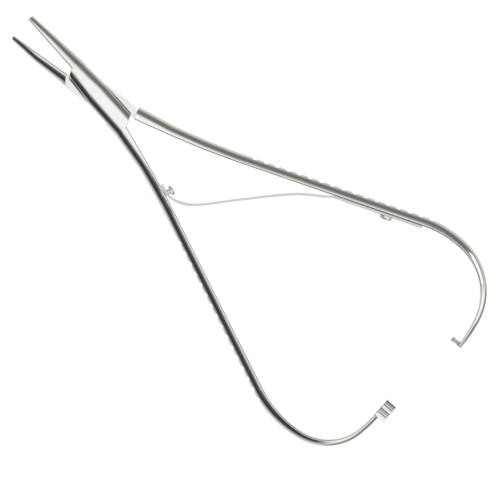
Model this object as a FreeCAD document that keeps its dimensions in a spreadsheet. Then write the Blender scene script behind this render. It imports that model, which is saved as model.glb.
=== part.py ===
import FreeCAD, Part
import os
from math import atan2, cos, degrees, radians, sin, tan
import Sketcher

# Box-lock needle holder with curled handle ends that close on a ratchet.
# Both halves are drawn in the closed position, pivot at the origin, +X towards
# the handles, then each is swung open by half of the opening angle.
# Millimetres and degrees. The instrument lies flat, its lower land on z = 0.

Vector = FreeCAD.Vector
Rotation = FreeCAD.Rotation
Placement = FreeCAD.Placement

doc = FreeCAD.newDocument("needle_holder")
sheet = doc.addObject("Spreadsheet::Sheet", "Sizes")

SIZES = {
    # Box lock
    "box_height": 5.9,
    "box_half_width": 4.15,
    "box_front_width": 3.45,
    "slot_height": 2.1,
    "tang_clearance": 0.05,
    "tang_half_width": 3.95,
    "slot_radius": 9.75,
    "swing_clearance": 0.15,
    "slot_split": 0.15,
    "cheek_front": 11.5,
    "cheek_rear": 13.9,
    "cheek_slant": 31.0,
    "shoulder_gap": 0.3,
    "pin_radius": 1.5,
    "pin_clearance": 0.05,
    "seat_clearance": 0.02,
    "tang_root_reach": 14.0,
    "tang_root_width": 2.8,
    "opening_angle": 12.4,
    # Jaws
    "grip_drop": 0.47,
    "grip_gap": 0.06,
    "jaw_length": 31.6,
    "jaw_middle": 22.0,
    "jaw_throat": 12.0,
    "jaw_tip_height": 3.1,
    "jaw_middle_height": 4.2,
    "jaw_throat_height": 5.6,
    "upper_tip_thickness": 1.72,
    "upper_middle_thickness": 2.82,
    "lower_tip_thickness": 1.3,
    "lower_middle_thickness": 2.5,
    "lower_throat_thickness": 3.0,
    "lower_root_thickness": 3.25,
    "serration_pitch": 0.8,
    "serration_depth": 0.16,
    "serration_count": 22.0,
    # Handle bars, both halves
    "edge_break": 0.3,
    "bar_height": 5.55,
    "shank_thickness": 2.95,
    "shank_length": 60.8,
    "end_height": 5.9,
    "scallop_pitch": 3.65,
    "scallop_count": 17.0,
    "scallop_depth": 0.55,
    "scallop_radius": 0.9,
    # Handle of the box half
    "box_bar_start": 12.1,
    "box_bar_rise": 0.38,
    "box_root_thickness": 4.42,
    "box_neck_turn": 11.5,
    "box_taper_length": 15.1,
    "box_taper_thickness": 3.1,
    "box_bow_radius": 280.0,
    "box_bow_turn": 2.2,
    "box_bow_rest": 1.5,
    "box_sweep_turn": 31.4,
    "box_sweep_radius": 34.0,
    "box_sweep_thickness": 2.3,
    "box_curl_turn": 71.0,
    "box_curl_radius": 15.5,
    "box_curl_thickness": 1.5,
    "box_lead_turn": 9.5,
    "box_lead_radius": 38.0,
    "box_scallop_start": 8.5,
    # Handle of the tang half
    "tang_bar_start": 14.0,
    "tang_bar_rise": 0.35,
    "tang_root_heading": 11.5,
    "tang_root_thickness": 4.2,
    "tang_taper_length": 12.3,
    "tang_taper_thickness": 3.3,
    "tang_bow_turn": 5.3,
    "tang_bow_radius": 240.0,
    "tang_shank_extra": 1.3,
    "tang_sweep_turn": 27.4,
    "tang_sweep_radius": 31.5,
    "tang_sweep_thickness": 2.7,
    "tang_curl_turn": 68.6,
    "tang_curl_radius": 18.6,
    "tang_curl_thickness": 1.7,
    "tang_lead_turn": 14.0,
    "tang_lead_radius": 41.5,
    "tang_lead_thickness": 1.2,
    "tang_scallop_start": 5.4,
    # Ratchet
    "rack_length": 6.3,
    "rack_width": 3.6,
    "rack_top": 5.0,
    "rack_slope": 35.0,
    "rack_foot": 1.5,
    "rack_lip": 1.6,
    "tooth_count": 4.0,
    "tooth_pitch": 1.42,
    "tooth_depth": 0.5,
    "tooth_start": 0.35,
    "catch_reach": 2.9,
    "catch_length": 1.3,
    "catch_thickness": 1.5,
    "catch_clearance": 0.2,
    # Leaf spring, its screw and its guide stud
    "spring_thickness": 0.8,
    "spring_width": 4.0,
    "spring_seat_gap": 0.02,
    "spring_glide_gap": 0.1,
    "spring_foot_inner": 34.4,
    "spring_foot_outer": 61.6,
    "spring_knee_radius": 37.0,
    "spring_toe_radius": 4.8,
    "spring_toe_beyond": 0.3,
    "spring_toe_before": 3.0,
    "spring_slot_before": 1.0,
    "spring_slot_beyond": 3.0,
    "spring_slot_clearance": 0.2,
    "screw_place": 49.9,
    "screw_head_radius": 1.9,
    "screw_head_height": 1.05,
    "screw_shank_radius": 0.9,
    "screw_shank_length": 2.4,
    "screw_slot_width": 0.5,
    "screw_slot_depth": 0.45,
    "stud_neck_radius": 0.8,
    "stud_head_radius": 1.55,
    "stud_height": 2.9,
    "stud_head_height": 0.95,
    "stud_root_depth": 1.6,
    "head_bevel": 0.4,
}


class Measure:
    """A length or an angle: its value now, and the formula that gives it."""

    def __init__(self, value, formula):
        self.value = float(value)
        self.formula = formula

    def __add__(self, other):
        other = as_measure(other)
        return Measure(self.value + other.value, f"({self.formula} + {other.formula})")

    def __sub__(self, other):
        other = as_measure(other)
        return Measure(self.value - other.value, f"({self.formula} - {other.formula})")

    def __mul__(self, other):
        other = as_measure(other)
        return Measure(self.value * other.value, f"({self.formula} * {other.formula})")

    def __truediv__(self, other):
        other = as_measure(other)
        return Measure(self.value / other.value, f"({self.formula} / {other.formula})")

    def __neg__(self):
        return Measure(-self.value, f"(0 - {self.formula})")


def as_measure(number):
    if isinstance(number, Measure):
        return number
    return Measure(number, f"({number})")


def cosine(angle):
    angle = as_measure(angle)
    return Measure(cos(radians(angle.value)), f"cos({angle.formula})")


def tangent(angle):
    angle = as_measure(angle)
    return Measure(tan(radians(angle.value)), f"tan({angle.formula})")


def larger(one, other):
    return Measure(max(one.value, other.value), f"max({one.formula}; {other.formula})")


for row, (alias, number) in enumerate(SIZES.items(), start=1):
    sheet.set(f"A{row}", alias)
    sheet.set(f"B{row}", str(number))
    sheet.setAlias(f"B{row}", alias)
doc.recompute()


def size(alias):
    return Measure(sheet.get(alias), f"Sizes.{alias}")


def count(alias):
    return int(round(size(alias).value))


# Sketch helpers

def plane(body, role):
    return next(feature for feature in body.Origin.OriginFeatures if feature.Role == role)


def new_body(label, placement=Placement()):
    body = doc.addObject("PartDesign::Body", label)
    body.Label = label
    body.Placement = placement
    return body


def bind(target, path, measure):
    target.setExpression(path, as_measure(measure).formula)


def flat_sketch(body, name, role="XY_Plane", level=0.0):
    """A sketch parallel to one of the body's origin planes, raised by level."""
    sketch = body.newObject("Sketcher::SketchObject", name)
    sketch.AttachmentSupport = [(plane(body, role), "")]
    sketch.MapMode = "FlatFace"
    level = as_measure(level)
    sketch.AttachmentOffset = Placement(Vector(0, 0, level.value), Rotation())
    bind(sketch, "AttachmentOffset.Base.z", level)
    return sketch


def placed_sketch(body, name, base, ahead, normal):
    """A sketch that stands free at base, its X along ahead."""
    sketch = body.newObject("Sketcher::SketchObject", name)
    sketch.AttachmentSupport = [(plane(body, "XY_Plane"), "")]
    sketch.MapMode = "FlatFace"
    sketch.AttachmentOffset = stand_on(base, ahead, normal)
    return sketch


def stand_on(base, ahead, normal):
    """The placement at base with X along ahead and Z along normal."""
    return Placement(base, Rotation(ahead, normal.cross(ahead), normal, "ZXY"))


def fix(sketch, kind, *where_and_measure):
    """Adds a dimension to a sketch and ties it to the sheet."""
    *where, measure = where_and_measure
    measure = as_measure(measure)
    value = radians(measure.value) if kind == "Angle" else measure.value
    index = sketch.addConstraint(Sketcher.Constraint(kind, *where, value))
    name = f"{kind}{index}"
    sketch.renameConstraint(index, name)
    bind(sketch, f"Constraints.{name}", measure)


def relate(sketch, kind, *where):
    sketch.addConstraint(Sketcher.Constraint(kind, *where))


def pin_point(sketch, edge, end, x, y):
    """Places one end of an edge from the sketch's origin."""
    fix(sketch, "DistanceX", -1, 1, edge, end, x)
    fix(sketch, "DistanceY", -1, 1, edge, end, y)


def polygon(sketch, corners):
    """A closed outline of straight edges through corners."""
    points = [Vector(as_measure(x).value, as_measure(y).value, 0) for x, y in corners]
    edges = [sketch.addGeometry(Part.LineSegment(points[i], points[(i + 1) % len(points)]))
             for i in range(len(points))]
    for i, (x, y) in enumerate(corners):
        relate(sketch, "Coincident", edges[i - 1], 2, edges[i], 1)
        pin_point(sketch, edges[i], 1, x, y)
    return sketch


def disc(sketch, radius, x=0.0, y=0.0):
    """A circle, placed from the sketch's origin."""
    centre = Vector(as_measure(x).value, as_measure(y).value, 0)
    ring = sketch.addGeometry(Part.Circle(centre, Vector(0, 0, 1), radius.value))
    fix(sketch, "Radius", ring, radius)
    pin_point(sketch, ring, 3, x, y)
    return sketch


def barrel(sketch, radius, half_width):
    """A disc with two flats, above and below its centre."""
    r, w = radius.value, half_width.value
    spread = atan2(w, (r * r - w * w) ** 0.5)
    x = r * cos(spread)
    top = sketch.addGeometry(Part.LineSegment(Vector(x, w, 0), Vector(-x, w, 0)))
    circle = Part.Circle(Vector(), Vector(0, 0, 1), r)
    left = sketch.addGeometry(Part.ArcOfCircle(circle, radians(180) - spread, radians(180) + spread))
    bottom = sketch.addGeometry(Part.LineSegment(Vector(-x, -w, 0), Vector(x, -w, 0)))
    right = sketch.addGeometry(Part.ArcOfCircle(circle, -spread, spread))
    for edge, following in ((top, left), (left, bottom), (bottom, right), (right, top)):
        relate(sketch, "Coincident", edge, 2, following, 1)
    for flat, level in ((top, half_width), (bottom, -half_width)):
        relate(sketch, "Horizontal", flat)
        fix(sketch, "DistanceY", -1, 1, flat, 1, level)
    for side in (left, right):
        relate(sketch, "Coincident", side, 3, -1, 1)
        fix(sketch, "Radius", side, radius)
    return sketch


def obround(sketch, first, last, radius):
    """A slot with round ends, its end centres at first and last on the X axis."""
    r, low, high = radius.value, first.value, last.value
    up = Vector(0, 0, 1)
    top = sketch.addGeometry(Part.LineSegment(Vector(high, r, 0), Vector(low, r, 0)))
    left = sketch.addGeometry(
        Part.ArcOfCircle(Part.Circle(Vector(low, 0, 0), up, r), radians(90), radians(270)))
    bottom = sketch.addGeometry(Part.LineSegment(Vector(low, -r, 0), Vector(high, -r, 0)))
    right = sketch.addGeometry(
        Part.ArcOfCircle(Part.Circle(Vector(high, 0, 0), up, r), radians(-90), radians(90)))
    for edge, following in ((top, left), (left, bottom), (bottom, right), (right, top)):
        relate(sketch, "Tangent", edge, 2, following, 1)
    relate(sketch, "PointOnObject", left, 3, -1)
    relate(sketch, "PointOnObject", right, 3, -1)
    fix(sketch, "DistanceX", -1, 1, left, 3, first)
    fix(sketch, "DistanceX", -1, 1, right, 3, last)
    fix(sketch, "Radius", left, radius)
    return sketch


def slot_outline(sketch):
    """The tang's room in the box: a swing circle that opens forwards below and rearwards above."""
    r = slot_radius.value
    low, split = grip_face, -size("slot_split")
    front, rear = -size("jaw_middle"), size("cheek_rear") * 1.2
    x_low, x_split, x_reach = ((r * r - y.value ** 2) ** 0.5 for y in (low, split, reach))
    circle = Part.Circle(Vector(), Vector(0, 0, 1), r)
    corners = [
        Vector(-x_low, low.value, 0), Vector(front.value, low.value, 0),
        Vector(front.value, -reach.value, 0), Vector(x_reach, -reach.value, 0),
        Vector(x_split, split.value, 0), Vector(rear.value, split.value, 0),
        Vector(rear.value, reach.value, 0), Vector(-x_reach, reach.value, 0),
    ]
    edges = []
    for i, corner in enumerate(corners):
        following = corners[(i + 1) % len(corners)]
        if i in (3, 7):
            first, second = (atan2(point.y, point.x) for point in (corner, following))
            edges.append(sketch.addGeometry(Part.ArcOfCircle(circle, first, second)))
        else:
            edges.append(sketch.addGeometry(Part.LineSegment(corner, following)))
    for i, edge in enumerate(edges):
        relate(sketch, "Coincident", edge, 2, edges[(i + 1) % len(edges)], 1)
    for i in (3, 7):
        relate(sketch, "Coincident", edges[i], 3, -1, 1)
        fix(sketch, "Radius", edges[i], slot_radius)
    for i in (0, 2, 4, 6):
        relate(sketch, "Horizontal", edges[i])
    for i in (1, 5):
        relate(sketch, "Vertical", edges[i])
    for i, level in ((0, low), (2, -reach), (4, split), (6, reach)):
        fix(sketch, "DistanceY", -1, 1, edges[i], 1, level)
    fix(sketch, "DistanceX", -1, 1, edges[1], 1, front)
    fix(sketch, "DistanceX", -1, 1, edges[5], 1, rear)
    return sketch


def bar_section(sketch, thickness, height, edge_break):
    """A half-round bar: flat inner face with broken edges on the Y axis, domed on the +X side."""
    flat = larger(thickness - height / 2, edge_break + 0.15)
    dome = thickness - flat
    radius = (height * height / 4 + dome * dome) / (dome * 2)
    half, cut, s = height.value / 2, edge_break.value, flat.value
    centre = thickness.value - radius.value
    spread = atan2(half, s - centre)
    corners = [Vector(s, -half, 0), Vector(cut, -half, 0), Vector(0, cut - half, 0),
               Vector(0, half - cut, 0), Vector(cut, half, 0), Vector(s, half, 0)]
    bottom, lower_break, inner, upper_break, top = (
        sketch.addGeometry(Part.LineSegment(first, second))
        for first, second in zip(corners, corners[1:]))
    outer = sketch.addGeometry(Part.ArcOfCircle(
        Part.Circle(Vector(centre, 0, 0), Vector(0, 0, 1), radius.value), -spread, spread))
    for first, second in ((bottom, lower_break), (lower_break, inner), (inner, upper_break),
                          (upper_break, top)):
        relate(sketch, "Coincident", first, 2, second, 1)
    relate(sketch, "Coincident", top, 2, outer, 2)
    relate(sketch, "Coincident", outer, 1, bottom, 1)
    relate(sketch, "Horizontal", top)
    relate(sketch, "Horizontal", bottom)
    relate(sketch, "Vertical", inner)
    relate(sketch, "Symmetric", outer, 1, outer, 2, -1)
    relate(sketch, "PointOnObject", inner, 1, -2)
    fix(sketch, "DistanceX", inner, 2, upper_break, 2, edge_break)
    fix(sketch, "DistanceY", inner, 2, upper_break, 2, edge_break)
    fix(sketch, "DistanceX", inner, 1, lower_break, 1, edge_break)
    fix(sketch, "DistanceY", lower_break, 1, inner, 1, edge_break)
    fix(sketch, "DistanceX", -1, 1, outer, 2, flat)
    fix(sketch, "DistanceY", outer, 1, outer, 2, height)
    fix(sketch, "DistanceX", -1, 1, outer, 3, thickness - radius)
    return sketch


class Spine:
    """The inner face line of a handle, drawn run by run from a start and a heading."""

    def __init__(self, body, name, x, y, heading):
        self.sketch = flat_sketch(body, name, level=middle)
        self.start = (as_measure(x), as_measure(y), as_measure(heading))
        self.x, self.y, self.heading = (measure.value for measure in self.start)
        self.last = None
        self.edges = 0
        self.backwards = set()

    def aim(self):
        """The directions along and to the left of the coming run."""
        ahead = Vector(cos(radians(self.heading)), sin(radians(self.heading)), 0)
        return ahead, Vector(-ahead.y, ahead.x, 0)

    def join(self, edge, entry, leave, end):
        if self.last is None:
            pin_point(self.sketch, edge, entry, self.start[0], self.start[1])
        else:
            relate(self.sketch, "Tangent", *self.last, edge, entry)
        self.last = (edge, leave)
        self.edges += 1
        self.x, self.y = end.x, end.y

    def line(self, length):
        begin = Vector(self.x, self.y, 0)
        end = begin + self.aim()[0] * length.value
        edge = self.sketch.addGeometry(Part.LineSegment(begin, end))
        self.join(edge, 1, 2, end)
        if self.edges == 1:
            fix(self.sketch, "Angle", edge, self.start[2])
        fix(self.sketch, "Distance", edge, 1, edge, 2, length)

    def arc(self, radius, turn, way):
        """Bends by turn degrees, to the left if way is 1 and to the right if it is -1."""
        centre = Vector(self.x, self.y, 0) + self.aim()[1] * (radius.value * way)
        first = self.heading - 90 * way
        self.heading += turn.value * way
        second = self.heading - 90 * way
        end = centre - self.aim()[1] * (radius.value * way)
        circle = Part.Circle(centre, Vector(0, 0, 1), radius.value)
        if way == 1:
            edge = self.sketch.addGeometry(Part.ArcOfCircle(circle, radians(first), radians(second)))
            self.join(edge, 1, 2, end)
        else:
            edge = self.sketch.addGeometry(Part.ArcOfCircle(circle, radians(second), radians(first)))
            self.join(edge, 2, 1, end)
            self.backwards.add(self.edges)
        fix(self.sketch, "Radius", edge, radius)
        fix(self.sketch, "Angle", edge, turn)

    def square(self, body, name, edge, at_end, right=True):
        """A sketch square to an edge, at its start or end, with X to the right or left."""
        against = edge in self.backwards
        sketch = body.newObject("Sketcher::SketchObject", name)
        sketch.AttachmentSupport = [(self.sketch, f"Edge{edge}")]
        sketch.MapMode = "NormalToEdge"
        sketch.MapPathParameter = 1.0 if at_end != against else 0.0
        facing = Rotation(Vector(0, 1, 0), 180 if against else 0)
        rolled = Rotation(Vector(0, 0, 1), 0 if right else 180)
        sketch.AttachmentOffset = Placement(Vector(), facing * rolled)
        return sketch


# Feature helpers

def feature(body, kind, name, sketch):
    made = body.newObject(f"PartDesign::{kind}", name)
    if sketch is not None:
        made.Profile = sketch
        sketch.Visibility = False
    return made


def pad(body, name, sketch, length, both_ways=False, backwards=False):
    made = feature(body, "Pad", name, sketch)
    made.SideType = "Symmetric" if both_ways else "One side"
    made.Reversed = backwards
    made.Length = as_measure(length).value
    bind(made, "Length", length)
    return settle(body, made)


def pocket(body, name, sketch, length, both_ways=False, backwards=False):
    before = body.Shape.Volume
    made = feature(body, "Pocket", name, sketch)
    made.SideType = "Symmetric" if both_ways else "One side"
    made.Reversed = backwards
    made.Length = as_measure(length).value
    bind(made, "Length", length)
    settle(body, made)
    if not made.Shape.Volume < before - 1e-6:
        raise RuntimeError(f"{name} cuts nothing")
    return made


def settle(body, made):
    body.Tip = made
    doc.recompute()
    if "Invalid" in made.State or "Error" in made.State or made.Shape.isNull():
        raise RuntimeError(f"{made.Name} failed: {made.getStatusString()}")
    return made


def loft(body, name, sections):
    made = feature(body, "AdditiveLoft", name, sections[0])
    made.Ruled = True
    made.Sections = [(section, [""]) for section in sections[1:]]
    return settle(body, made)


def sweep(body, name, spine, edges, sections):
    made = feature(body, "AdditivePipe", name, sections[0])
    made.Spine = (spine.sketch, [f"Edge{edge}" for edge in edges])
    made.Sections = [(section, [""]) for section in sections[1:]]
    if made.Sections:
        made.Transformation = "Multisection"
    return settle(body, made)


def handle_bar(body, spine, right, stations):
    """A half-round bar along a spine, tapered evenly from each station to the next.

    A station is the number of the edge that it ends, how the bar gets there, and the
    thickness and height there. A bar that keeps its section is padded by a length.
    """
    last_edge, last_section = 0, None
    for edge, way, thickness, height in stations:
        name = f"BarTo{edge}"
        if isinstance(way, Measure):
            pad(body, name, last_section, way, backwards=True)
        square = spine.square(body, f"BarSection{edge}", max(edge, 1), edge > 0, right)
        section = bar_section(square, thickness, height, edge_break)
        if way == "loft":
            loft(body, name, [last_section, section])
        if way == "sweep":
            sweep(body, name, spine, range(last_edge + 1, edge + 1), [last_section, section])
        last_edge, last_section = edge, section


def row_of(body, name, original, support, step, copies):
    """Repeats a feature along the direction of a sketch's line."""
    made = body.newObject("PartDesign::LinearPattern", name)
    made.Originals = [original]
    made.Direction = support
    made.Mode = "Spacing"
    made.Offset = step.value
    bind(made, "Offset", step)
    made.Occurrences = copies
    return settle(body, made)


def turned(body, name, corners):
    """A piece turned on the body's Z axis; corners are radius and level."""
    sketch = polygon(flat_sketch(body, f"{name}Profile", "XZ_Plane"), corners)
    made = feature(body, "Revolution", name, sketch)
    made.ReferenceAxis = (sketch, ["V_Axis"])
    made.Angle = 360
    return settle(body, made)


# Sizes that several pieces share

box_height = size("box_height")
middle = box_height / 2
reach = size("box_half_width") * 2
grip_face = -size("grip_drop")
slot_height = size("slot_height")
slot_radius = size("slot_radius")
tang_height = slot_height - size("tang_clearance") * 2
tang_width = size("tang_half_width")
edge_break = size("edge_break")
bar_height = size("bar_height")
end_height = size("end_height")
half_open = size("opening_angle") / 2
jaw_length = size("jaw_length")
shank_length = size("shank_length")
tang_shank_length = shank_length + size("tang_shank_extra")
pin_radius = size("pin_radius")
spring_thickness = size("spring_thickness")
open_box = Placement(Vector(), Rotation(Vector(0, 0, 1), -half_open.value))
open_tang = Placement(Vector(), Rotation(Vector(0, 0, 1), half_open.value))


def cheek_front_at(y):
    """X of the cheeks' slanted front end, at a distance y below the pivot line."""
    return y * tangent(size("cheek_slant")) - size("cheek_front")


def cheek_rear_at(y):
    """X of the cheeks' slanted rear end, at a height y above the pivot line."""
    return size("cheek_rear") - y * tangent(size("cheek_slant"))


shoulder_shift = size("shoulder_gap") / cosine(size("cheek_slant"))


def jaw_bar(body, stations, face, turned):
    """Half-round jaw, lofted through (distance, thickness, height) stations."""
    sections = []
    for number, (x, thickness, height) in enumerate(stations, start=1):
        section = flat_sketch(body, f"JawSection{number}", "YZ_Plane", x)
        section.AttachmentOffset = Placement(
            Vector(face.value, middle.value, x.value), Rotation(Vector(0, 1, 0), turned))
        bind(section, "AttachmentOffset.Base.x", face)
        bind(section, "AttachmentOffset.Base.y", middle)
        bar_section(section, thickness, height, edge_break / 2)
        sections.append(section)
    return loft(body, "Jaw", sections)


def scallops(body, spine, edge, start, right, thickness):
    """Shallow finger grooves in a row along the outer side of the straight shank."""
    radius = size("scallop_radius")
    sketch = spine.square(body, "ScallopPlan", edge, False, right)
    lay_flat = Placement(Vector(), Rotation(Vector(1, 0, 0), 90 if right else -90))
    sketch.AttachmentOffset = sketch.AttachmentOffset * lay_flat
    disc(sketch, radius, thickness + radius - size("scallop_depth"), -start if right else start)
    cut = pocket(body, "Scallop", sketch, box_height * 2, both_ways=True)
    return row_of(body, "Scallops", cut, (spine.sketch, [f"Edge{edge}"]), size("scallop_pitch"),
                  count("scallop_count"))


def serrations(body, face, way):
    """Fine cross grooves over the gripping face."""
    pitch, depth = size("serration_pitch"), size("serration_depth")
    start = pitch - jaw_length
    sketch = flat_sketch(body, "SerrationPlan")
    polygon(sketch, [(start - depth, face - way * 0.05), (start, face + depth * way),
                     (start + depth, face - way * 0.05)])
    cut = pocket(body, "Serration", sketch, box_height * 2, both_ways=True)
    return row_of(body, "Serrations", cut, (plane(body, "X_Axis"), [""]), pitch,
                  count("serration_count"))


# Box half: upper jaw, box with two cheeks, handle and rack, forged in one

box_half = new_body("box_half")

def box_section(name, x, half_width):
    sketch = flat_sketch(box_half, name, "YZ_Plane", x)
    sketch.AttachmentOffset = Placement(Vector(0, middle.value, x.value), Rotation())
    bind(sketch, "AttachmentOffset.Base.y", middle)
    return obround(sketch, -(half_width - middle), half_width - middle, middle)


throat = cheek_front_at(-grip_face)
pad(box_half, "Box", box_section("BoxSection", as_measure(0), size("box_half_width")),
    size("cheek_rear"))
loft(box_half, "BoxFront", [
    box_section("BoxMiddleSection", as_measure(0), size("box_half_width")),
    box_section("BoxFrontSection", throat, size("box_front_width")),
])

rear_end = flat_sketch(box_half, "RearEndPlan")
polygon(rear_end, [
    (size("cheek_rear"), as_measure(0)),
    (cheek_rear_at(reach), reach),
    (size("cheek_rear") * 2, reach),
    (size("cheek_rear") * 2, as_measure(0)),
])
pocket(box_half, "RearEnd", rear_end, box_height * 3, both_ways=True)

front_end = flat_sketch(box_half, "FrontEndPlan")
polygon(front_end, [
    (cheek_front_at(-grip_face), grip_face),
    (-jaw_length, grip_face),
    (-jaw_length, -reach),
    (cheek_front_at(reach), -reach),
])
pocket(box_half, "FrontEnd", front_end, box_height * 3, both_ways=True)

slot_plan = flat_sketch(box_half, "SlotPlan", level=middle)
pocket(box_half, "Slot", slot_outline(slot_plan), slot_height, both_ways=True)

pin_hole = disc(flat_sketch(box_half, "PinHolePlan"), pin_radius + size("seat_clearance"))
pocket(box_half, "PinHole", pin_hole, box_height * 3, both_ways=True)

jaw_bar(box_half, [
    (-jaw_length, size("upper_tip_thickness"), size("jaw_tip_height")),
    (-size("jaw_middle"), size("upper_middle_thickness"), size("jaw_middle_height")),
    (throat, size("box_front_width") - grip_face, box_height),
], grip_face, 0)
serrations(box_half, grip_face, 1)

box_spine = Spine(box_half, "HandleSpine", size("box_bar_start"), size("box_bar_rise"),
                  -size("box_neck_turn"))
box_spine.line(size("box_taper_length"))
box_spine.arc(size("box_bow_radius"), size("box_bow_turn"), -1)
stud_base, stud_heading = Vector(box_spine.x, box_spine.y, middle.value), box_spine.heading
box_spine.arc(size("box_bow_radius"), size("box_bow_rest"), -1)
box_spine.line(shank_length)
box_spine.arc(size("box_sweep_radius"), size("box_sweep_turn"), 1)
box_spine.arc(size("box_curl_radius"), size("box_curl_turn"), 1)
box_spine.arc(size("box_lead_radius"), size("box_lead_turn"), 1)

handle_bar(box_half, box_spine, True, [
    (0, "start", size("box_root_thickness"), box_height - 0.02),
    (1, "loft", size("box_taper_thickness"), bar_height),
    (3, "sweep", size("shank_thickness"), bar_height),
    (4, shank_length, size("shank_thickness"), bar_height),
    (5, "sweep", size("box_sweep_thickness"), bar_height),
    (6, "sweep", size("box_curl_thickness"), bar_height),
    (7, "sweep", size("box_curl_thickness"), end_height),
])
scallops(box_half, box_spine, 4, size("box_scallop_start"), True, size("shank_thickness"))

# Rack: a slanted plate that widens outwards from the curl's end, with saw teeth
# across its upper face

slope = size("rack_slope")
rack_plan = box_spine.square(box_half, "RackPlan", box_spine.edges, True)
rack_outer_top = size("rack_top") - size("rack_width") * tangent(slope)
polygon(rack_plan, [
    (as_measure(0), -middle),
    (size("rack_foot"), -middle),
    (size("rack_width"), rack_outer_top - size("rack_lip") - middle),
    (size("rack_width"), rack_outer_top - middle),
    (as_measure(0), size("rack_top") - middle),
])
pad(box_half, "Rack", rack_plan, size("rack_length"), backwards=True)

tooth = box_spine.square(box_half, "ToothPlan", box_spine.edges, True)
down_slope = Vector(cos(radians(slope.value)), -sin(radians(slope.value)), 0)
along_rack = Vector(0, 0, -1)
tooth.AttachmentOffset = Placement(
    Vector(0, (size("rack_top") - middle).value, 0),
    Rotation(along_rack, down_slope.cross(along_rack), down_slope, "ZXY"))
tooth_pitch, tooth_depth = size("tooth_pitch"), size("tooth_depth")
tooth_start = size("tooth_start")
polygon(tooth, [
    (tooth_start, tooth_depth * 0.2),
    (tooth_start + tooth_pitch, tooth_depth * 0.2),
    (tooth_start + tooth_pitch, -tooth_depth),
])
tooth_cut = pocket(box_half, "Tooth", tooth, size("rack_width") * 4, both_ways=True)
row_of(box_half, "Teeth", tooth_cut, (tooth, ["H_Axis"]), tooth_pitch, count("tooth_count"))


# Tang half: lower jaw, thin tang through the box, handle and catch, forged in one

tang_half = new_body("tang_half")
tang_grip_face = grip_face - size("grip_gap")

jaw_bar(tang_half, [
    (-jaw_length, size("lower_tip_thickness"), size("jaw_tip_height")),
    (-size("jaw_middle"), size("lower_middle_thickness"), size("jaw_middle_height")),
    (-size("jaw_throat"), size("lower_throat_thickness"), size("jaw_throat_height")),
    (-size("jaw_throat") * 0.7, size("lower_root_thickness"), box_height),
], tang_grip_face, 180)

tang_spine = Spine(tang_half, "HandleSpine", size("tang_bar_start"), size("tang_bar_rise"),
                   size("tang_root_heading"))
tang_spine.line(size("tang_taper_length"))
tang_spine.arc(size("tang_bow_radius"), size("tang_bow_turn") / 2, 1)
tang_spine.arc(size("tang_bow_radius"), size("tang_bow_turn") / 2, 1)
shank_x, shank_y, shank_heading = tang_spine.x, tang_spine.y, tang_spine.heading
tang_spine.line(tang_shank_length)
tang_spine.arc(size("tang_sweep_radius"), size("tang_sweep_turn"), -1)
tang_spine.arc(size("tang_curl_radius"), size("tang_curl_turn"), -1)
tang_spine.arc(size("tang_lead_radius"), size("tang_lead_turn"), -1)

handle_bar(tang_half, tang_spine, False, [
    (0, "start", size("tang_root_thickness"), box_height),
    (1, "loft", size("tang_taper_thickness"), bar_height),
    (2, "loft", (size("tang_taper_thickness") + size("shank_thickness")) / 2, bar_height),
    (3, "loft", size("shank_thickness"), bar_height),
    (4, tang_shank_length, size("shank_thickness"), bar_height),
    (5, "sweep", size("tang_sweep_thickness"), bar_height),
    (6, "sweep", size("tang_curl_thickness"), bar_height),
    (7, "sweep", size("tang_lead_thickness"), end_height),
])

for side, level, backwards in (("Upper", middle + tang_height / 2, True),
                               ("Lower", middle - tang_height / 2, False)):
    recess = flat_sketch(tang_half, f"{side}RecessPlan", level=level)
    polygon(recess, [
        (cheek_front_at(reach) - shoulder_shift, -reach),
        (cheek_rear_at(-reach) + shoulder_shift, -reach),
        (cheek_rear_at(reach) + shoulder_shift, reach),
        (cheek_front_at(-reach) - shoulder_shift, reach),
    ])
    pocket(tang_half, f"{side}Recess", recess, box_height, backwards=backwards)

swing = slot_radius - size("swing_clearance")
tang_low = -size("slot_split") + size("grip_gap")
flat_end = as_measure((swing.value ** 2 - tang_width.value ** 2) ** 0.5)
tang_plan = flat_sketch(tang_half, "TangPlan", level=middle)
pad(tang_half, "TangDisc", barrel(tang_plan, swing, tang_width), tang_height, both_ways=True)

front_root = flat_sketch(tang_half, "FrontRootPlan", level=middle)
polygon(front_root, [
    (as_measure(0), -tang_width),
    (-flat_end, -tang_width),
    (-size("tang_root_reach"), -size("tang_root_width")),
    (-size("tang_root_reach"), tang_grip_face),
    (as_measure(0), tang_grip_face),
])
pad(tang_half, "FrontRoot", front_root, tang_height, both_ways=True)

rear_root = flat_sketch(tang_half, "RearRootPlan", level=middle)
rear_reach = size("tang_root_reach") + 3
polygon(rear_root, [
    (as_measure(0), tang_low),
    (flat_end, tang_low),
    (rear_reach, size("tang_root_width") / 2),
    (rear_reach, size("tang_root_width")),
    (flat_end, tang_width),
    (as_measure(0), tang_width),
])
pad(tang_half, "RearRoot", rear_root, tang_height, both_ways=True)

tang_hole = disc(flat_sketch(tang_half, "PinHolePlan"), pin_radius + size("pin_clearance"))
pocket(tang_half, "PinHole", tang_hole, box_height * 3, both_ways=True)

# Catch: a finger that reaches inwards over the rack, its underside along the rack's slope

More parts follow.
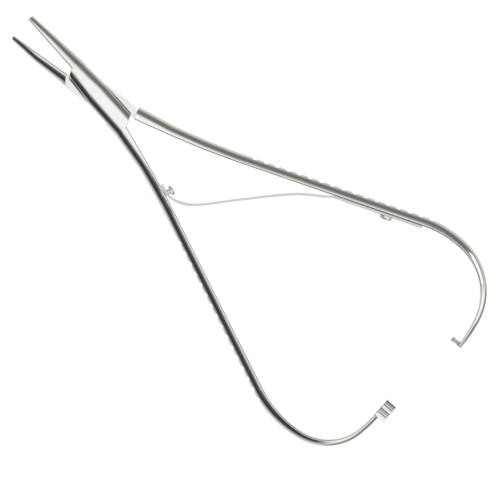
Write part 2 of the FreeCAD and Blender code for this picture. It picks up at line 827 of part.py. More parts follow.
catch_gap = size("catch_clearance") / cosine(slope)
drop = as_measure(tang_spine.x - box_spine.x) * tangent(slope)
catch_low = size("rack_top") + catch_gap - drop - middle
catch_rise = size("catch_reach") * tangent(slope)
catch_root = size("tang_lead_thickness") / 2
catch_sink = catch_root * tangent(slope)
catch_plan = tang_spine.square(tang_half, "CatchPlan", tang_spine.edges, True)
polygon(catch_plan, [
    (-catch_root, catch_low - catch_sink),
    (size("catch_reach"), catch_low + catch_rise),
    (size("catch_reach"), catch_low + catch_rise + size("catch_thickness")),
    (-catch_root, catch_low - catch_sink + size("catch_thickness")),
])
pad(tang_half, "Catch", catch_plan, size("catch_length"))

scallops(tang_half, tang_spine, 4, size("tang_scallop_start"), False, size("shank_thickness"))
serrations(tang_half, tang_grip_face, -1)

screw_ahead = Vector(cos(radians(shank_heading)), sin(radians(shank_heading)), 0)
screw_inward = Vector(screw_ahead.y, -screw_ahead.x, 0)
shank_start = Vector(shank_x, shank_y, middle.value)
screw_base = shank_start + screw_ahead * size("screw_place").value
screw_bore = disc(placed_sketch(tang_half, "ScrewHolePlan", screw_base, screw_ahead, screw_inward),
                  size("screw_shank_radius") + size("seat_clearance"))
pocket(tang_half, "ScrewHole", screw_bore, size("screw_shank_length") + size("seat_clearance"))


# Pivot pin, ground flush with both cheeks

pivot_pin = new_body("pivot_pin", open_box)
pin_plan = disc(flat_sketch(pivot_pin, "PinPlan"), pin_radius)
pad(pivot_pin, "Pin", pin_plan, box_height)


# Guide stud on the box half's handle, the spring's toe rides on it

stud_ahead = Vector(cos(radians(stud_heading)), sin(radians(stud_heading)), 0)
stud_inward = Vector(-stud_ahead.y, stud_ahead.x, 0)
stud_bore = disc(placed_sketch(box_half, "StudHolePlan", stud_base, stud_ahead, stud_inward),
                 size("stud_neck_radius") + size("seat_clearance"))
pocket(box_half, "StudHole", stud_bore, size("stud_root_depth") + size("seat_clearance"))

guide_stud = new_body("guide_stud", open_box * stand_on(stud_base, stud_ahead, stud_inward))
head_level = size("stud_height") - size("stud_head_height")
turned(guide_stud, "Stud", [
    (as_measure(0), -size("stud_root_depth")),
    (size("stud_neck_radius"), -size("stud_root_depth")),
    (size("stud_neck_radius"), head_level),
    (size("stud_head_radius"), head_level),
    (size("stud_head_radius"), size("stud_height") - size("head_bevel")),
    (size("stud_head_radius") - size("head_bevel"), size("stud_height")),
    (as_measure(0), size("stud_height")),
])


# Leaf spring: its foot lies along the tang half's handle, its toe glides on the box half's

leaf_spring = new_body("leaf_spring", open_tang)
to_tang = Rotation(Vector(0, 0, 1), -size("opening_angle").value)
toe_place, toe_ahead, toe_inward = (to_tang.multVec(v) for v in (stud_base, stud_ahead, stud_inward))
half_leaf = spring_thickness.value / 2
foot_line = screw_inward * (size("spring_seat_gap").value + half_leaf)
toe_line = toe_inward * (size("spring_glide_gap").value + half_leaf)
knee_radius, toe_radius = size("spring_knee_radius"), size("spring_toe_radius")
foot_end = shank_start + screw_ahead * size("spring_foot_outer").value + foot_line
knee_start = shank_start + screw_ahead * size("spring_foot_inner").value + foot_line
toe_bend_end = toe_place + toe_ahead * size("spring_toe_beyond").value + toe_line
across = (toe_bend_end + toe_inward * toe_radius.value) - (knee_start + screw_inward * knee_radius.value)
both_radii = knee_radius.value + toe_radius.value
leg_length = (across.Length ** 2 - both_radii ** 2) ** 0.5
leg_heading = degrees(atan2(across.y, across.x) + atan2(both_radii, leg_length)) % 360
toe_heading = stud_heading - size("opening_angle").value + 180

leaf_spine = Spine(leaf_spring, "LeafSpine", foot_end.x, foot_end.y, shank_heading - 180)
leaf_spine.line(size("spring_foot_outer") - size("spring_foot_inner"))
leaf_spine.arc(knee_radius, as_measure(leg_heading - shank_heading - 180), 1)
leaf_spine.line(as_measure(leg_length))
leaf_spine.arc(toe_radius, as_measure(leg_heading - toe_heading), -1)
leaf_spine.line(size("spring_toe_beyond") + size("spring_toe_before"))

leaf_section = leaf_spine.square(leaf_spring, "LeafSection", 1, False)
polygon(leaf_section, [
    (-spring_thickness / 2, -size("spring_width") / 2),
    (spring_thickness / 2, -size("spring_width") / 2),
    (spring_thickness / 2, size("spring_width") / 2),
    (-spring_thickness / 2, size("spring_width") / 2),
])
sweep(leaf_spring, "Leaf", leaf_spine, range(1, leaf_spine.edges + 1), [leaf_section])

toe_slot = placed_sketch(leaf_spring, "ToeSlotPlan", toe_place, toe_ahead, toe_inward)
obround(toe_slot, -size("spring_slot_before"), size("spring_slot_beyond"),
        size("stud_neck_radius") + size("spring_slot_clearance"))
pocket(leaf_spring, "ToeSlot", toe_slot, spring_thickness * 8, both_ways=True)
leaf_hole = disc(placed_sketch(leaf_spring, "ScrewHolePlan", screw_base, screw_ahead, screw_inward),
                 size("screw_shank_radius") + size("seat_clearance"))
pocket(leaf_spring, "ScrewHole", leaf_hole, spring_thickness * 8, both_ways=True)


# Screw that holds the spring's foot

spring_screw = new_body("spring_screw", open_tang * stand_on(screw_base, screw_ahead, screw_inward))
head_seat = spring_thickness + size("spring_seat_gap") * 2
head_top = head_seat + size("screw_head_height")
turned(spring_screw, "Screw", [
    (as_measure(0), -size("screw_shank_length")),
    (size("screw_shank_radius"), -size("screw_shank_length")),
    (size("screw_shank_radius"), head_seat),
    (size("screw_head_radius"), head_seat),
    (size("screw_head_radius"), head_top - size("head_bevel")),
    (size("screw_head_radius") - size("head_bevel"), head_top),
    (as_measure(0), head_top),
])
driver_slot = flat_sketch(spring_screw, "DriverSlotPlan", level=head_top)
polygon(driver_slot, [
    (-size("screw_head_radius"), -size("screw_slot_width") / 2),
    (size("screw_head_radius"), -size("screw_slot_width") / 2),
    (size("screw_head_radius"), size("screw_slot_width") / 2),
    (-size("screw_head_radius"), size("screw_slot_width") / 2),
])
pocket(spring_screw, "DriverSlot", driver_slot, size("screw_slot_depth"))


# Swing both halves open and write every piece

box_half.Placement = open_box
tang_half.Placement = open_tang
doc.recompute()

for item in doc.Objects:
    if "Invalid" in item.State or "Error" in item.State:
        raise RuntimeError(f"{item.Name} is not sound: {item.getStatusString()}")

os.makedirs("parts", exist_ok=True)
for body in (box_half, tang_half, pivot_pin, leaf_spring, spring_screw, guide_stud):
    shape = body.Shape
    if shape.isNull() or not shape.isValid() or len(shape.Solids) != 1:
        raise RuntimeError(f"{body.Label} is not one sound solid")
    shape.exportStep(f"parts/{body.Label}.step")
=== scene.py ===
from math import cos, radians, sin

import bmesh
import bpy
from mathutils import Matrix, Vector


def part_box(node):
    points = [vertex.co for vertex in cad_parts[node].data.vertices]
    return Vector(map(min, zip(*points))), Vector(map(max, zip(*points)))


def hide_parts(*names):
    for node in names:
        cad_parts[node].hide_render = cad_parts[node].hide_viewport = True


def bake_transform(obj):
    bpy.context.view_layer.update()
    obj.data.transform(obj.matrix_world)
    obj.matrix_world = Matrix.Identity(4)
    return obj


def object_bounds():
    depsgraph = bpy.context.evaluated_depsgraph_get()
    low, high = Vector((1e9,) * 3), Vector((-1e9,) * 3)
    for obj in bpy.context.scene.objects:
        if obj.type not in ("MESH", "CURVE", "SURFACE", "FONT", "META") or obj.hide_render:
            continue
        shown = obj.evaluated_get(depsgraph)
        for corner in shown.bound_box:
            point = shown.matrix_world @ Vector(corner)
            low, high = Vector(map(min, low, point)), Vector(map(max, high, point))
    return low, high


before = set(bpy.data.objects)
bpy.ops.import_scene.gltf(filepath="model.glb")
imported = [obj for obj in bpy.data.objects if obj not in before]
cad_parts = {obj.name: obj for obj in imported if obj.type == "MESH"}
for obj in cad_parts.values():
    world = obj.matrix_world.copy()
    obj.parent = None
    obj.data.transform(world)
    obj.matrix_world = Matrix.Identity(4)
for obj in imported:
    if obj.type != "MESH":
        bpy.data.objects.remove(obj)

first_low, first_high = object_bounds()
MM = 0.001

# The photograph: straight from above, turned so that the handles run down to the right
VIEW_TURN = radians(42.0)
PIXELS_PER_MM = 3.2
IMAGE_WIDTH_PX = 500
PIVOT_PX = (97.0, 94.0)
LENS_MM = 400.0
SENSOR_MM = 36.0

# Places read from the frame
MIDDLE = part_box("pivot_pin")[1].z / 2
BOX_HALF_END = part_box("box_half")[1].x
TANG_HALF_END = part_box("tang_half")[1].x
object_centre = (first_low + first_high) / 2
object_length = (first_high - first_low).length

# Each half is turned by this much from the middle line of the open handles
HALF_OPEN = radians(6.2)

# The pin is ground flush, so no edge is softened this near to its axis
PIN_REACH = (1.8 * MM, 2.4 * MM)
# The tang's recesses lie at these heights, up to this far behind the pivot, and get this much painted
# shade
RECESS_FLOOR = (3.6 * MM, 3.85 * MM)
RECESS_CEILING = (4.0 * MM, 4.3 * MM)
RECESS_END = (15 * MM, 17 * MM)
RECESS_PAINTED_SHADE = 0.08
# The handles' edges grow rounder along their curled ends
CURL = (96 * MM, 122 * MM)
CURL_ROUNDNESS = 4.0

# The rack lies along Y at the end of the box half; its ground lands are painted light and grey in turn as
# reflections
RACK_START = -16.15 * MM
RACK_PITCH = 1.42 * MM
RACK_SIDE = BOX_HALF_END - 4.3 * MM
RACK_WIDTH = 5 * MM
RACK_EXTRA_ROUGHNESS = 0.14
LAND_REFLECTION_SHADES = (0.95, 0.5, 0.9, 0.4)
# Shares of a pitch at which a land's painted highlight at its burr and the painted shade in its groove
# lie
BURR_HIGHLIGHT_SPAN = (0.10, 0.24)
BURR_HIGHLIGHT_LEVEL = 1.1
GROOVE_SHADE_SPAN = (0.88, 1.1)
GROOVE_SHADE_DEPTH = 0.5
LINE_SOFTNESS = 0.04

# The catch lies across X at the end of the tang half
CATCH_WIDTH = (16.5 * MM, 18.5 * MM)
CATCH_SIDE = TANG_HALF_END - 1.2 * MM
CATCH_LENGTH = 4 * MM
# The catch's colour is painted darker towards its free end as shade and lighter at its root as highlight
CATCH_FREE_END = CATCH_SIDE - 2.9 * MM
CATCH_ROOT = CATCH_SIDE - 0.3 * MM
CATCH_PAINTED_LEVELS = (0.58, 1.3)
CATCH_EXTRA_ROUGHNESS = 0.42

# The jaws meet a little to the tang half's side of the pivot, and a line of painted shade runs along
# their edges
GRIP_OFFSET = 0.47 * MM
GRIP_LINE = 0.3 * MM
GRIP_SOFTNESS = 0.07 * MM
JAW_ROOT = (-11.2 * MM, -10.6 * MM)


# Small node helpers

def new_tree(material):
    material.use_nodes = True
    tree = material.node_tree
    tree.nodes.clear()
    return tree


def add(tree, kind, name=None, **settings):
    node = tree.nodes.new(kind)
    if name:
        node.label = name
    for key, value in settings.items():
        setattr(node, key, value)
    return node


def feed(tree, socket, source):
    """Links a source socket, or sets a plain value."""
    if hasattr(source, "is_output"):
        tree.links.new(source, socket)
    else:
        socket.default_value = source


def maths(tree, operation, first, second=None):
    node = add(tree, "ShaderNodeMath", operation=operation)
    feed(tree, node.inputs[0], first)
    if second is not None:
        feed(tree, node.inputs[1], second)
    return node.outputs[0]


def product(tree, first, *others):
    for other in others:
        first = maths(tree, "MULTIPLY", first, other)
    return first


def dimmed(tree, mask, strength):
    """1 where the mask is 0, and less by the strength where the mask is 1."""
    return maths(tree, "SUBTRACT", 1.0, maths(tree, "MULTIPLY", mask, strength))


def remap(tree, value, low, high, new_low, new_high):
    node = add(tree, "ShaderNodeMapRange", interpolation_type="SMOOTHSTEP")
    for socket, source in zip(node.inputs, (value, low, high, new_low, new_high)):
        feed(tree, socket, source)
    return node.outputs["Result"]


def window(tree, value, low, high, soft=0.08 * MM):
    """1 between low and high, 0 outside, with soft ends."""
    rise = remap(tree, value, low - soft, low + soft, 0.0, 1.0)
    fall = remap(tree, value, high - soft, high + soft, 1.0, 0.0)
    return maths(tree, "MULTIPLY", rise, fall)


def ramp(tree, value, stops, interpolation="LINEAR"):
    """A colour ramp through (position, colour) stops."""
    node = add(tree, "ShaderNodeValToRGB")
    node.color_ramp.interpolation = interpolation
    points = node.color_ramp.elements
    while len(points) > 1:
        points.remove(points[-1])
    first_position, first_colour = stops[0]
    points[0].position = first_position
    points[0].color = (*first_colour, 1)
    for position, colour in stops[1:]:
        points.new(position).color = (*colour, 1)
    feed(tree, node.inputs[0], value)
    return node.outputs["Color"]


def blended(tree, share, first, second, data_type="FLOAT"):
    """The first value where share is 0, and the second where it is 1."""
    node = add(tree, "ShaderNodeMix", data_type=data_type)
    feed(tree, node.inputs["Factor"], share)
    feed(tree, node.inputs["A"], first)
    feed(tree, node.inputs["B"], second)
    return node.outputs["Result"]


def scaled_colour(tree, colour, shade):
    node = add(tree, "ShaderNodeVectorMath", operation="SCALE")
    feed(tree, node.inputs[0], colour)
    feed(tree, node.inputs["Scale"], shade)
    return node.outputs[0]


def object_place(tree):
    return add(tree, "ShaderNodeTexCoord").outputs["Object"]


def apart(tree, vector):
    """The X, Y and Z of a vector."""
    node = add(tree, "ShaderNodeSeparateXYZ")
    feed(tree, node.inputs[0], vector)
    return node.outputs


def grey(value, tint=(1.0, 1.0, 1.0)):
    """A linear colour from an 8-bit display value, tinted."""
    share = value / 255
    linear = share / 12.92 if share <= 0.04045 else ((share + 0.055) / 1.055) ** 2.4
    return tuple(linear * channel for channel in tint)


# Shared effect: polished steel, as a node group

LINE_STRETCH = (35.0, 1400.0, 1400.0)
# The part of the noise's range that is used, and the shades and roughness that it gives
NOISE_SPAN = (0.3, 0.7)
LINE_SHADES = (0.96, 1.02)
CLOUD_SHADES = (0.985, 1.01)
LINE_ROUGHNESS = 0.10
CLOUD_ROUGHNESS = 0.06
LEAST_ROUGHNESS = 0.05
PIT_EDGE = (0.04, 0.12)
PIT_DULLNESS = 0.05
# Painted shade along the seams: the ambient occlusion range used, and the shades that it gives
SEAM_OPENNESS = (0.45, 0.9)
SEAM_PAINTED_SHADES = (0.22, 1.0)


def group(name, inputs, outputs):
    tree = bpy.data.node_groups.new(name, "ShaderNodeTree")
    for socket_name, kind, value in inputs:
        socket = tree.interface.new_socket(socket_name, in_out="INPUT", socket_type=kind)
        socket.default_value = value
    for socket_name, kind in outputs:
        tree.interface.new_socket(socket_name, in_out="OUTPUT", socket_type=kind)
    return tree, add(tree, "NodeGroupInput"), add(tree, "NodeGroupOutput")


def polishing_lines(tree, place, turn):
    """Fine noise drawn out along the polished half."""
    turned = add(tree, "ShaderNodeVectorRotate", rotation_type="Z_AXIS")
    feed(tree, turned.inputs["Vector"], place)
    feed(tree, turned.inputs["Angle"], turn)
    stretch = add(tree, "ShaderNodeMapping")
    stretch.inputs["Scale"].default_value = LINE_STRETCH
    feed(tree, stretch.inputs["Vector"], turned.outputs["Vector"])
    lines = add(tree, "ShaderNodeTexNoise", "polishing lines")
    lines.inputs["Scale"].default_value = 4.0
    lines.inputs["Detail"].default_value = 4.0
    lines.inputs["Roughness"].default_value = 0.62
    feed(tree, lines.inputs["Vector"], stretch.outputs["Vector"])
    return lines.outputs["Fac"]


def handling_marks(tree, place):
    clouds = add(tree, "ShaderNodeTexNoise", "handling marks")
    clouds.inputs["Scale"].default_value = 120.0
    clouds.inputs["Detail"].default_value = 3.0
    feed(tree, clouds.inputs["Vector"], place)
    return clouds.outputs["Fac"]


def fine_pits(tree, place):
    specks = add(tree, "ShaderNodeTexVoronoi", "fine pits", feature="F1")
    specks.inputs["Scale"].default_value = 900.0
    feed(tree, specks.inputs["Vector"], place)
    return remap(tree, specks.outputs["Distance"], *PIT_EDGE, 1.0, 0.0)


# Painted shade along seams and gaps between parts, darkest where other surfaces lie close
def painted_seam_shade(tree, reach):
    seam = add(tree, "ShaderNodeAmbientOcclusion", "painted seam shade", samples=8)
    feed(tree, seam.inputs["Distance"], reach)
    return remap(tree, seam.outputs["AO"], *SEAM_OPENNESS, *SEAM_PAINTED_SHADES)


# Where the tang's recesses lie, for their painted shade
def machined_recess(tree, where):
    under = remap(tree, where["Z"], *RECESS_CEILING, 1.0, 0.0)
    over = remap(tree, where["Z"], *RECESS_FLOOR, 0.0, 1.0)
    near = remap(tree, where["X"], *RECESS_END, 1.0, 0.0)
    return product(tree, under, over, near)


def soft_edges(tree, place, where, radius):
    """Normals of rounded edges, sharp at the pin and rounder along the curled ends."""
    level_place = add(tree, "ShaderNodeVectorMath", operation="MULTIPLY")
    feed(tree, level_place.inputs[0], place)
    level_place.inputs[1].default_value = (1, 1, 0)
    reach = add(tree, "ShaderNodeVectorMath", operation="LENGTH")
    feed(tree, reach.inputs[0], level_place.outputs[0])
    off_pin = remap(tree, reach.outputs["Value"], *PIN_REACH, 0.0, 1.0)
    curl = remap(tree, where["X"], *CURL, 1.0, CURL_ROUNDNESS)
    bevel = add(tree, "ShaderNodeBevel", samples=8)
    feed(tree, bevel.inputs["Radius"], product(tree, radius, off_pin, curl))
    return bevel.outputs["Normal"]


def polish_group():
    """Polishing lines along the steel, faint cloudiness, a soft rounding of every edge, and painted shade
    along the seams and in the tang's recesses.
    """
    tree, entry, leave = group(
        "polished_steel",
        [("Tint", "NodeSocketColor", (0.75, 0.75, 0.73, 1)),
         ("Roughness", "NodeSocketFloat", 0.16),
         ("Line Depth", "NodeSocketFloat", 0.12),
         ("Line Turn", "NodeSocketFloat", 0.0),
         ("Edge Radius", "NodeSocketFloat", 0.12 * MM),
         ("Seam Shade Reach", "NodeSocketFloat", 0.3 * MM)],
        [("Colour", "NodeSocketColor"), ("Roughness", "NodeSocketFloat"),
         ("Normal", "NodeSocketVector")],
    )
    place = object_place(tree)
    where = apart(tree, place)
    lines = polishing_lines(tree, place, entry.outputs["Line Turn"])
    clouds = handling_marks(tree, place)

    total = product(
        tree,
        remap(tree, lines, *NOISE_SPAN, *LINE_SHADES),
        remap(tree, clouds, *NOISE_SPAN, *CLOUD_SHADES),
        dimmed(tree, fine_pits(tree, place), PIT_DULLNESS),
        # painted shade along the seams
        painted_seam_shade(tree, entry.outputs["Seam Shade Reach"]),
        # painted shade in the tang's recesses
        dimmed(tree, machined_recess(tree, where), RECESS_PAINTED_SHADE),
    )
    feed(tree, leave.inputs["Colour"], scaled_colour(tree, entry.outputs["Tint"], total))

    line_rough = maths(tree, "MULTIPLY", maths(tree, "SUBTRACT", lines, 0.5), LINE_ROUGHNESS)
    cloud_rough = maths(tree, "MULTIPLY", maths(tree, "SUBTRACT", clouds, 0.5), CLOUD_ROUGHNESS)
    uneven = maths(tree, "ADD", line_rough, cloud_rough)
    rough = maths(tree, "ADD", entry.outputs["Roughness"], uneven)
    feed(tree, leave.inputs["Roughness"], maths(tree, "MAXIMUM", rough, LEAST_ROUGHNESS))

    bump = add(tree, "ShaderNodeBump")
    feed(tree, bump.inputs["Strength"], entry.outputs["Line Depth"])
    bump.inputs["Distance"].default_value = 0.01 * MM
    feed(tree, bump.inputs["Height"], lines)
    feed(tree, bump.inputs["Normal"], soft_edges(tree, place, where, entry.outputs["Edge Radius"]))
    feed(tree, leave.inputs["Normal"], bump.outputs["Normal"])
    return tree


POLISH = polish_group()


# Finishes and painted light of single places: each takes the steel's colour and roughness and gives them
# back changed

def rack_roughness_and_painted_light(tree, colour, rough):
    """The rack's ground lands, painted light and grey in turn as reflections, each with a painted
    highlight at its burr and painted shade in its groove.
    """
    where = apart(tree, object_place(tree))
    lands = len(LAND_REFLECTION_SHADES)
    rack_end = RACK_START + (lands + 1) * RACK_PITCH
    here = product(
        tree,
        window(tree, where["Y"], RACK_START, rack_end),
        window(tree, where["X"], RACK_SIDE, RACK_SIDE + RACK_WIDTH),
    )
    steps = maths(tree, "DIVIDE", maths(tree, "SUBTRACT", where["Y"], RACK_START), RACK_PITCH)
    stops = [(number / lands, (shade, shade, shade)) for number, shade in enumerate(LAND_REFLECTION_SHADES)]
    land_reflection = ramp(tree, maths(tree, "DIVIDE", steps, lands), stops, "CONSTANT")
    within = maths(tree, "FRACT", steps)
    burr_glint = window(tree, within, *BURR_HIGHLIGHT_SPAN, LINE_SOFTNESS)
    groove_painted_shade = window(tree, within, *GROOVE_SHADE_SPAN, LINE_SOFTNESS)
    shade = product(
        tree, blended(tree, burr_glint, land_reflection, BURR_HIGHLIGHT_LEVEL), dimmed(tree, groove_painted_shade, GROOVE_SHADE_DEPTH))
    painted_colour = scaled_colour(tree, colour, blended(tree, here, 1.0, shade))
    return painted_colour, maths(tree, "ADD", rough, maths(tree, "MULTIPLY", here, RACK_EXTRA_ROUGHNESS))


def catch_roughness_and_painted_light(tree, colour, rough):
    """The catch is left matt from grinding, and its colour is painted darker towards its free end as
    shade and lighter at its root as highlight.
    """
    where = apart(tree, object_place(tree))
    here = product(
        tree,
        window(tree, where["Y"], *CATCH_WIDTH),
        window(tree, where["X"], CATCH_SIDE - CATCH_LENGTH, CATCH_SIDE),
    )
    painted_along_catch = remap(tree, where["X"], CATCH_FREE_END, CATCH_ROOT, *CATCH_PAINTED_LEVELS)
    painted_colour = scaled_colour(tree, colour, blended(tree, here, 1.0, painted_along_catch))
    return painted_colour, maths(tree, "ADD", rough, maths(tree, "MULTIPLY", here, CATCH_EXTRA_ROUGHNESS))


def grip_edge_painted_shade(side, strength):
    """A line of painted shade along the edge of a jaw's gripping face, which side (1 or -1) gives."""
    def shade_grip_edge(tree, colour, rough):
        where = apart(tree, object_place(tree))
        along = maths(tree, "MULTIPLY", where["X"], sin(HALF_OPEN))
        across = maths(tree, "MULTIPLY", where["Y"], side * cos(HALF_OPEN))
        depth = maths(tree, "ADD", maths(tree, "ADD", along, across), side * GRIP_OFFSET)
        edge = remap(tree, depth, GRIP_LINE - GRIP_SOFTNESS, GRIP_LINE + GRIP_SOFTNESS, strength, 0.0)
        jaw = remap(tree, where["X"], *JAW_ROOT, 1.0, 0.0)
        return scaled_colour(tree, colour, dimmed(tree, edge, jaw)), rough
    return shade_grip_edge


def steel(name, tint, roughness, line_depth=0.12, line_turn=0.0,
          edge=0.12 * MM, seam=0.3 * MM, local_changes=()):
    """Polished stainless steel with its own tint, gloss and direction of polish."""
    material = bpy.data.materials.new(name)
    tree = new_tree(material)
    effect = add(tree, "ShaderNodeGroup", node_tree=POLISH)
    for socket, value in (("Tint", (*tint, 1)), ("Roughness", roughness), ("Line Depth", line_depth),
                          ("Line Turn", line_turn), ("Edge Radius", edge), ("Seam Shade Reach", seam)):
        effect.inputs[socket].default_value = value
    colour, rough = effect.outputs["Colour"], effect.outputs["Roughness"]
    for local_change in local_changes:
        colour, rough = local_change(tree, colour, rough)
    shader = add(tree, "ShaderNodeBsdfPrincipled")
    shader.inputs["Metallic"].default_value = 1.0
    feed(tree, shader.inputs["Base Color"], colour)
    feed(tree, shader.inputs["Roughness"], rough)
    feed(tree, shader.inputs["Normal"], effect.outputs["Normal"])
    out = add(tree, "ShaderNodeOutputMaterial")
    feed(tree, out.inputs["Surface"], shader.outputs["BSDF"])
    return material


MIRROR_TINT = (0.76, 0.765, 0.75)
MATERIALS = {
    "box_half": steel(
        "box_half_steel", MIRROR_TINT, 0.10, line_turn=HALF_OPEN,
        local_changes=(rack_roughness_and_painted_light, grip_edge_painted_shade(1, 0.55))),
    "tang_half": steel(
        "tang_half_steel", MIRROR_TINT, 0.10, line_turn=-HALF_OPEN,
        local_changes=(catch_roughness_and_painted_light, grip_edge_painted_shade(-1, 0.75))),
    "pivot_pin": steel(
        "pin_steel", MIRROR_TINT, 0.11, line_turn=HALF_OPEN, edge=0.01 * MM, seam=0.02 * MM),
    "spring_screw": steel("screw_steel", (0.74, 0.74, 0.72), 0.24, line_depth=0.05),
    "guide_stud": steel("stud_steel", (0.72, 0.72, 0.70), 0.30, line_depth=0.05),
    "leaf_spring": steel(
        "spring_steel", (0.58, 0.585, 0.58), 0.30, line_turn=radians(-25), edge=0.08 * MM),
}
for node_name, material in MATERIALS.items():
    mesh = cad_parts[node_name].data
    mesh.materials.clear()
    mesh.materials.append(material)
    for polygon in mesh.polygons:
        polygon.material_index = 0


# The leaf spring flexes, so a mesh that bends between the two halves stands for the rigid one

# Middle line of the spring as photographed, in millimetres
SPRING_LINE = ((35.0, -8.05), (37.6, -8.65), (39.2, -8.62), (41.1, -8.14), (43.0, -7.34),
               (45.1, -6.0), (46.8, -4.41), (49.0, -2.04), (52.1, 1.61), (55.2, 5.28),
               (58.4, 8.9), (61.6, 12.54), (64.3, 15.5), (67.1, 18.32), (70.2, 20.87),
               (73.5, 23.18), (76.5, 25.05))
SPRING_THINNING = 0.88
SPRING_CUTS = 110
# Share of the length over which each end passes from the source's shape to the photographed line
SPRING_EASE = 0.06
# How near to a cut a vertex must lie to count as on it; the strip beyond the line's ends, at the screwed
# foot and the slotted toe, stays as it is
ON_CUT = 1e-6


def spring_line_at(x):
    """Height of the photographed middle line at x, by a smooth curve through its points."""
    points = [Vector((px * MM, py * MM)) for px, py in SPRING_LINE]
    index = max(i for i in range(len(points) - 1) if points[i].x <= x)
    before, first, second, after = (
        points[min(max(index + step, 0), len(points) - 1)] for step in (-1, 0, 1, 2))
    width = second.x - first.x
    share = (x - first.x) / width
    rise_in = (second.y - before.y) / (second.x - before.x) * width
    rise_out = (after.y - first.y) / (after.x - first.x) * width
    square, cube = share * share, share * share * share
    return ((2 * cube - 3 * square + 1) * first.y + (cube - 2 * square + share) * rise_in
            + (3 * square - 2 * cube) * second.y + (cube - square) * rise_out)


def flexing_spring():
    """The spring's own shape, cut into short lengths, thinned and laid on its photographed line."""
    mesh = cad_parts["leaf_spring"].data.copy()
    mesh.name = "flexing_spring"
    first_x, last_x = SPRING_LINE[0][0] * MM, SPRING_LINE[-1][0] * MM
    length = last_x - first_x
    stations = [first_x + length * number / SPRING_CUTS for number in range(SPRING_CUTS + 1)]
    work = bmesh.new()
    work.from_mesh(mesh)
    for station in stations:
        everything = work.verts[:] + work.edges[:] + work.faces[:]
        bmesh.ops.bisect_plane(work, geom=everything, plane_co=(station, 0, 0), plane_no=(1, 0, 0))
    middles = []
    for station in stations:
        heights = [vertex.co.y for vertex in work.verts if abs(vertex.co.x - station) < ON_CUT]
        middles.append((min(heights) + max(heights)) / 2)
    for vertex in work.verts:
        if not first_x <= vertex.co.x < last_x - ON_CUT:
            continue
        place = (vertex.co.x - first_x) / length * SPRING_CUTS
        number = min(int(place), SPRING_CUTS - 1)
        old = middles[number] + (middles[number + 1] - middles[number]) * (place - number)
        from_end = min(place, SPRING_CUTS - place) / SPRING_CUTS
        share = min(from_end / SPRING_EASE, 1.0)
        new = old + (spring_line_at(vertex.co.x) - old) * share
        thinning = 1 - (1 - SPRING_THINNING) * share
        vertex.co.y = new + (vertex.co.y - old) * thinning
    work.to_mesh(mesh)
    work.free()
    spring = bpy.data.objects.new("flexing_spring", mesh)
    bpy.context.scene.collection.objects.link(spring)
    return spring


flex = flexing_spring()
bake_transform(flex)
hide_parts("leaf_spring")


# Stage: a plain pale floor, white to the camera but for the object's faint shadow. The steel
# sees through it to the room's pale lower half, which has the floor's shades as photographed.

FLOOR_WHITE = 0.925
FLOOR_SHADE = 0.22
FLOOR_PALE = 0.85
FLOOR_LENGTHS = 6


def plain_surface(tree, kind, level):
    shader = add(tree, kind)
    shader.inputs["Color"].default_value = (level, level, level, 1)
    return shader.outputs[0]


def chosen(tree, share, first, second):
    """The first shader where share is 0, and the second where it is 1."""
    node = add(tree, "ShaderNodeMixShader")
    feed(tree, node.inputs[0], share)
    feed(tree, node.inputs[1], first)
    feed(tree, node.inputs[2], second)
    return node.outputs[0]


def floor_material():
    material = bpy.data.materials.new("pale_floor")
    tree = new_tree(material)
    seen = add(tree, "ShaderNodeLightPath")
    pale = plain_surface(tree, "ShaderNodeBsdfDiffuse", FLOOR_PALE)
    plain = add(tree, "ShaderNodeAddShader")
    feed(tree, plain.inputs[0], plain_surface(tree, "ShaderNodeEmission", FLOOR_WHITE))
    feed(tree, plain.inputs[1], plain_surface(tree, "ShaderNodeBsdfDiffuse", FLOOR_SHADE))
    to_camera = chosen(tree, seen.outputs["Is Camera Ray"], pale, plain.outputs[0])
    mirrored = maths(tree, "MAXIMUM", seen.outputs["Is Glossy Ray"], seen.outputs["Is Transmission Ray"])
    room_below = add(tree, "ShaderNodeBsdfTransparent").outputs[0]
    out = add(tree, "ShaderNodeOutputMaterial")
    feed(tree, out.inputs["Surface"], chosen(tree, mirrored, to_camera, room_below))
    return material


def stage_floor():
    mesh = bpy.data.meshes.new("floor")
    work = bmesh.new()
    bmesh.ops.create_grid(work, x_segments=1, y_segments=1, size=object_length * FLOOR_LENGTHS)
    work.to_mesh(mesh)
    work.free()
    mesh.materials.append(floor_material())
    floor = bpy.data.objects.new("floor", mesh)
    floor.location = (object_centre.x, object_centre.y, 0)
    bpy.context.scene.collection.objects.link(floor)


stage_floor()


# Light: a white ceiling straight above, a dark room round it and a pale horizon

STEEL_SHARE = 0.76
WARM = (1.0, 1.0, 0.93)
COOL = (0.96, 1.03, 1.0)
# Lights brighter than this have no tint
UNTINTED = 235
# Elevation in degrees and the display value that steel shows when it mirrors it
UPPER_SIDE = ((-90, 208), (-30, 204), (-15, 186), (-5, 158), (5, 128), (15, 114), (29, 108),
              (42, 110), (54, 138), (62, 178), (70, 226), (80, 243), (90, 246))
LOWER_SIDE = ((-90, 206), (-30, 203), (-15, 172), (-5, 124), (5, 78), (15, 56), (29, 54),
              (42, 62), (54, 94), (62, 146), (70, 216), (80, 243), (90, 246))
HANDLE_SIDE = ((-90, 205), (-62, 192), (-48, 146), (-36, 108), (-26, 124), (-16, 205),
               (-6, 244), (10, 246), (90, 246))
JAW_SIDE = ((-90, 200), (-42, 200), (-19, 190), (0, 178), (15, 170), (29, 168), (42, 176),
            (54, 190), (66, 220), (80, 243), (90, 246))
# Where the room's sides pass into one another: across Y, and by degrees turned from +X
ACROSS = (-0.12, 0.12)
HANDLE_TURN = (35, 62)
JAW_TURN = (128, 150)


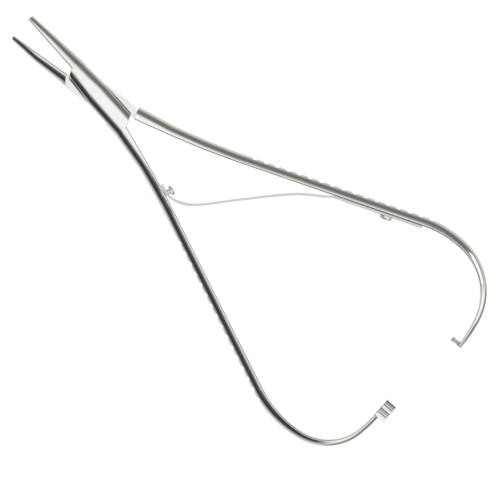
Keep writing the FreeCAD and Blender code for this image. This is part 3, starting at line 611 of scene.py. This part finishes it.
def room_light():
    world = bpy.data.worlds.new("room")
    bpy.context.scene.world = world
    tree = new_tree(world)
    aim = apart(tree, add(tree, "ShaderNodeTexCoord").outputs["Generated"])
    height = maths(tree, "ARCSINE", aim["Z"])
    share = maths(tree, "ADD", maths(tree, "DIVIDE", height, radians(180)), 0.5)

    def side(stops, tint):
        colours = []
        for elevation, value in stops:
            linear = grey(value, tint if value < UNTINTED else (1, 1, 1))
            colours.append(((elevation + 90) / 180, tuple(channel / STEEL_SHARE for channel in linear)))
        return ramp(tree, share, colours)

    upper = remap(tree, aim["Y"], *ACROSS, 0.0, 1.0)
    sides = blended(tree, upper, side(LOWER_SIDE, COOL), side(UPPER_SIDE, WARM), "RGBA")
    turn = maths(tree, "ABSOLUTE", maths(tree, "ARCTAN2", aim["Y"], aim["X"]))
    handles = remap(tree, turn, *(radians(angle) for angle in HANDLE_TURN), 1.0, 0.0)
    sides = blended(tree, handles, sides, side(HANDLE_SIDE, WARM), "RGBA")
    jaws = remap(tree, turn, *(radians(angle) for angle in JAW_TURN), 0.0, 1.0)
    sides = blended(tree, jaws, sides, side(JAW_SIDE, WARM), "RGBA")
    room = add(tree, "ShaderNodeBackground")
    feed(tree, room.inputs["Color"], sides)
    white = plain_surface(tree, "ShaderNodeBackground", 1)
    seen = add(tree, "ShaderNodeLightPath")
    out = add(tree, "ShaderNodeOutputWorld")
    feed(tree, out.inputs["Surface"], chosen(tree, seen.outputs["Is Camera Ray"], room.outputs[0], white))


def soft_light(name, place, power, width):
    lamp = bpy.data.lights.new(name, "AREA")
    lamp.energy = power
    lamp.size = width
    light = bpy.data.objects.new(name, lamp)
    light.location = place
    light.rotation_euler = (object_centre - Vector(place)).to_track_quat("-Z", "Y").to_euler()
    bpy.context.scene.collection.objects.link(light)


room_light()
soft_light("floor_fill", (object_centre.x + 0.5, object_centre.y + 0.9, 0.5), power=1.2, width=0.5)


# Camera: the photograph's place

def photo_camera():
    half = IMAGE_WIDTH_PX / 2
    right = Vector((cos(VIEW_TURN), sin(VIEW_TURN), 0))
    up = Vector((-sin(VIEW_TURN), cos(VIEW_TURN), 0))
    across = (half - PIVOT_PX[0]) / PIXELS_PER_MM * MM
    down = (half - PIVOT_PX[1]) / PIXELS_PER_MM * MM
    centre = right * across - up * down
    width = IMAGE_WIDTH_PX / PIXELS_PER_MM * MM
    data = bpy.data.cameras.new("photo_camera")
    data.lens = LENS_MM
    data.sensor_width = SENSOR_MM
    data.clip_start = 0.05
    data.clip_end = 20
    camera = bpy.data.objects.new("photo_camera", data)
    camera.location = (centre.x, centre.y, MIDDLE + width * LENS_MM / SENSOR_MM)
    camera.rotation_euler = (0, 0, VIEW_TURN)
    bpy.context.scene.collection.objects.link(camera)
    bpy.context.scene.camera = camera


photo_camera()
bpy.context.scene.view_settings.view_transform = "Standard"
